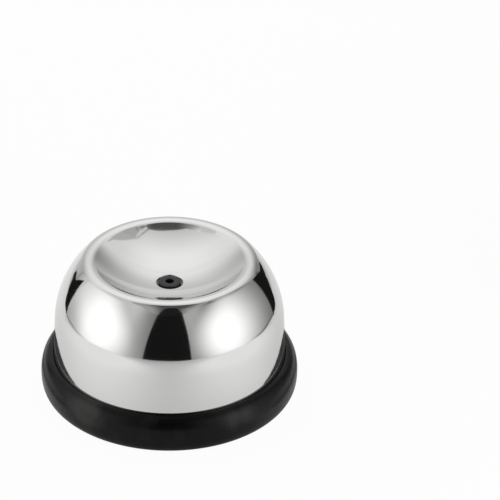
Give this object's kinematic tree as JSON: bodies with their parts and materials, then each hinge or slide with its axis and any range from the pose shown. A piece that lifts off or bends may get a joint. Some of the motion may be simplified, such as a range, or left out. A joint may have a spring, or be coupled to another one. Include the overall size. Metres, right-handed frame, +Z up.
{
  "type": "egg piercer",
  "caption": "Table-top egg piercer: polished steel dome with a dished top, a sprung black button round a fixed needle, and a non-slip rubber base ring.",
  "frame": {"origin": "on the table, under the centre line, at the middle of the rubber foot", "axes": "+Z up along the centre line, which the button slides on; the tool is round, so X and Y are free, and the first floor screw lies on +X"},
  "size_m": [0.06, 0.06, 0.0334],
  "materials": {
    "polished_steel": "mirror-polished stainless steel sheet",
    "black_rubber": "matt moulded rubber",
    "floor_plastic": "finely grained moulding",
    "natural_plastic": "undyed moulding",
    "button_plastic": "satin moulding",
    "needle_steel": "drawn and ground steel pin",
    "turned_brass": "turned",
    "spring_steel": "drawn spring wire",
    "zinc_steel": "bright zinc plate"
  },
  "bodies": {
    "housing": {"dome_shell": "polished_steel", "base_ring": "black_rubber", "base_plate": "floor_plastic", "guide_turret": "natural_plastic", "needle": "needle_steel", "needle_holder": "turned_brass", "return_spring": "spring_steel", "base_screws": "zinc_steel"},
    "press_button": {"plunger": "button_plastic"}
  },
  "joints": [
    {"name": "button_press", "type": "slide", "parent": "housing", "child": "press_button", "axis": [0, 0, -1], "range_m": [0, 0.003], "stiffness_N_per_m": 320, "deforming": ["return_spring"]}
  ]
}
